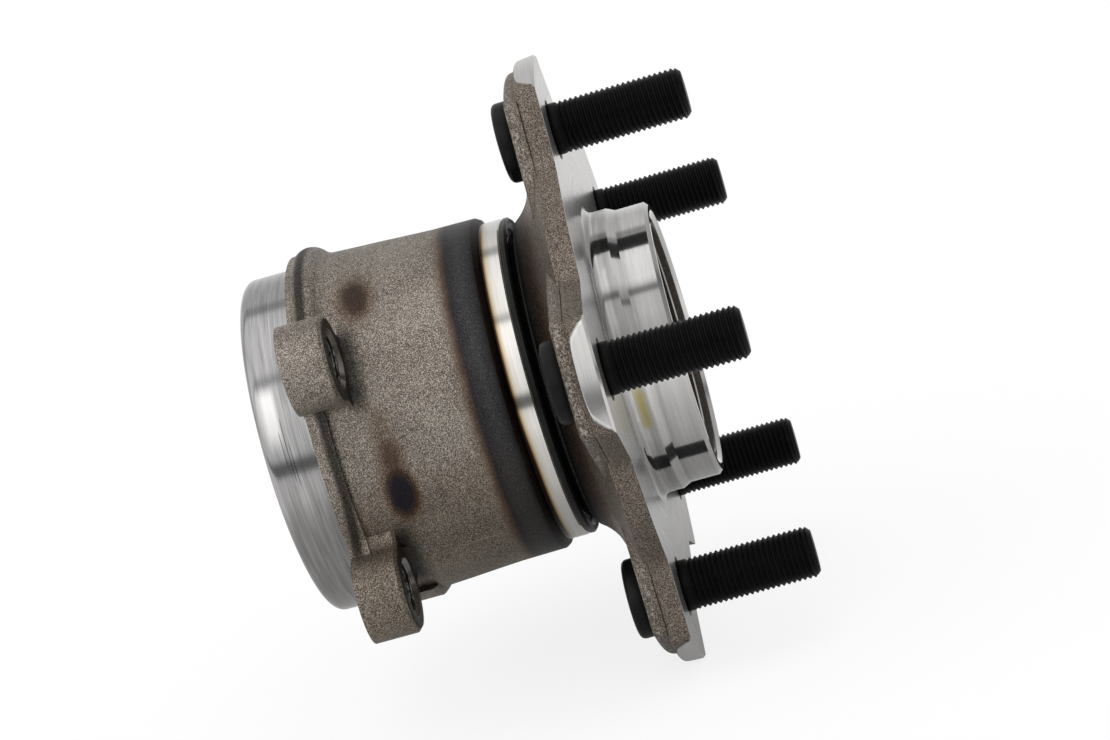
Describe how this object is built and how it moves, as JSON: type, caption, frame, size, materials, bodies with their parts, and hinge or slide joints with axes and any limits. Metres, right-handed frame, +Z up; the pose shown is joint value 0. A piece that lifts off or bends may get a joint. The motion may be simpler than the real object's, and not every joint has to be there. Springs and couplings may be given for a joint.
{
  "type": "wheel hub bearing",
  "caption": "Driven wheel hub bearing: lobed stud flange with a wheel pilot on a splined spindle, running on two rows of balls in a forged ring with tapped ears and a spigot.",
  "frame": {"origin": "centre of the wheel mounting face, on the hub axis", "axes": "+Y along the hub axis, outboard towards the wheel; +Z up; the knuckle side is at -Y"},
  "size_m": [0.1443, 0.1127, 0.1415],
  "materials": {
    "forged_steel": "as forged and shot blasted, warm brown-grey, with turned land, spigot and seat",
    "machined_steel": "turned and ground steel on a forged blank",
    "bearing_steel": "ground bearing steel",
    "ball_steel": "polished bearing steel",
    "blackened_steel": "black phosphate, lightly oiled",
    "cage_polyamide": "moulded glass-filled polyamide",
    "sheet_steel": "pressed stainless sheet",
    "seal_rubber": "moulded nitrile rubber, slightly glossy",
    "magnetic_rubber": "ferrite-filled rubber, matt"
  },
  "bodies": {
    "outer": {"outer_ring": "forged_steel", "outboard_seal_case": "sheet_steel", "outboard_seal_lip": "seal_rubber", "inboard_seal_case": "sheet_steel", "inboard_seal_lip": "seal_rubber"},
    "hub": {"hub_spindle": "machined_steel", "inner_ring": "bearing_steel", "wheel_stud_1": "blackened_steel", "wheel_stud_2": "blackened_steel", "wheel_stud_3": "blackened_steel", "wheel_stud_4": "blackened_steel", "wheel_stud_5": "blackened_steel", "inboard_seal_slinger": "sheet_steel", "abs_encoder_ring": "magnetic_rubber"},
    "outboard_ball_set": {"outboard_cage": "cage_polyamide", "outboard_ball_01": "ball_steel", "outboard_ball_02": "ball_steel", "outboard_ball_03": "ball_steel", "outboard_ball_04": "ball_steel", "outboard_ball_05": "ball_steel", "outboard_ball_06": "ball_steel", "outboard_ball_07": "ball_steel", "outboard_ball_08": "ball_steel", "outboard_ball_09": "ball_steel", "outboard_ball_10": "ball_steel", "outboard_ball_11": "ball_steel", "outboard_ball_12": "ball_steel", "outboard_ball_13": "ball_steel"},
    "inboard_ball_set": {"inboard_cage": "cage_polyamide", "inboard_ball_01": "ball_steel", "inboard_ball_02": "ball_steel", "inboard_ball_03": "ball_steel", "inboard_ball_04": "ball_steel", "inboard_ball_05": "ball_steel", "inboard_ball_06": "ball_steel", "inboard_ball_07": "ball_steel", "inboard_ball_08": "ball_steel", "inboard_ball_09": "ball_steel", "inboard_ball_10": "ball_steel", "inboard_ball_11": "ball_steel", "inboard_ball_12": "ball_steel", "inboard_ball_13": "ball_steel"}
  },
  "joints": [
    {"name": "hub_spin", "type": "hinge", "parent": "outer", "child": "hub", "pos_m": [0, 0, 0], "axis": [0, 1, 0], "continuous": true},
    {"name": "outboard_cage_orbit", "type": "hinge", "parent": "outer", "child": "outboard_ball_set", "pos_m": [0, -0.033, 0], "axis": [0, 1, 0], "continuous": true},
    {"name": "inboard_cage_orbit", "type": "hinge", "parent": "outer", "child": "inboard_ball_set", "pos_m": [0, -0.062, 0], "axis": [0, 1, 0], "continuous": true}
  ],
  "couplings": [
    {"joint": "outboard_cage_orbit", "follows": "hub_spin", "ratio": 0.4159},
    {"joint": "inboard_cage_orbit", "follows": "hub_spin", "ratio": 0.4159}
  ]
}
